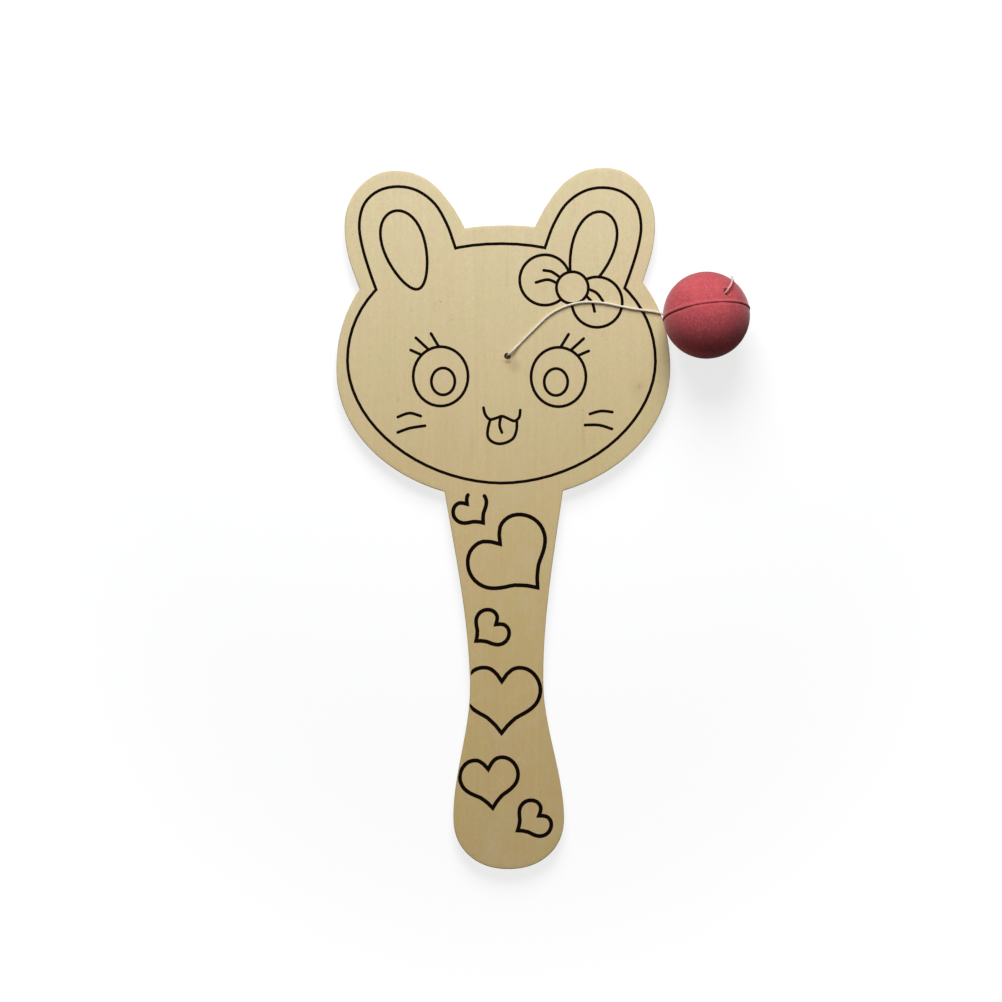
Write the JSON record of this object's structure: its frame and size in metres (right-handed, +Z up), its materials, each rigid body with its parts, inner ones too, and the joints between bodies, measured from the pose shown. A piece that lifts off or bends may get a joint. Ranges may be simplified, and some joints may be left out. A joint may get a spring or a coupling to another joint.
{
  "type": "paddle ball game",
  "caption": "Flat plywood paddle shaped like a rabbit's head on a waisted handle, with a printed face and hearts, and a hollow rubber ball on an elastic cord.",
  "frame": {"origin": "back face of the paddle, at the middle of the head's widest line, not counting the ears", "axes": "+Z up, out of the printed face; +Y from the handle's end to the ears, the length of the paddle; +X to the right, towards the ball as it lies"},
  "size_m": [0.1475, 0.25, 0.031],
  "materials": {
    "wood_face": "bare pale basswood, sanded, fine grain along the handle",
    "wood_core": "bare wood with cross grain, slightly darker at the cut edge",
    "ink": "thin matt black print",
    "elastic": "off-white covered elastic thread",
    "ball_rubber": "matt chalky red rubber"
  },
  "bodies": {
    "paddle": {"front_veneer": "wood_face", "core_veneer": "wood_core", "back_veneer": "wood_face", "face_print": "ink", "heart_print": "ink", "paddle_knot": "elastic", "elastic_lead": "elastic", "elastic_coil": "elastic", "elastic_tail": "elastic"},
    "cord_end": {"ball_knot": "elastic"},
    "ball": {"ball_upper_shell": "ball_rubber", "ball_lower_shell": "ball_rubber"}
  },
  "joints": [
    {"name": "ball_bounce", "type": "slide", "parent": "paddle", "child": "cord_end", "axis": [0, 0, 1], "range_m": [0, 0.3], "deforming": ["elastic_lead", "elastic_coil", "elastic_tail"]},
    {"name": "ball_spin", "type": "hinge", "parent": "cord_end", "child": "ball", "pos_m": [0.0723, 0.0179, 0.0155], "axis": [0.446, 0.4988, 0.7431], "range_deg": [-180, 180]}
  ]
}
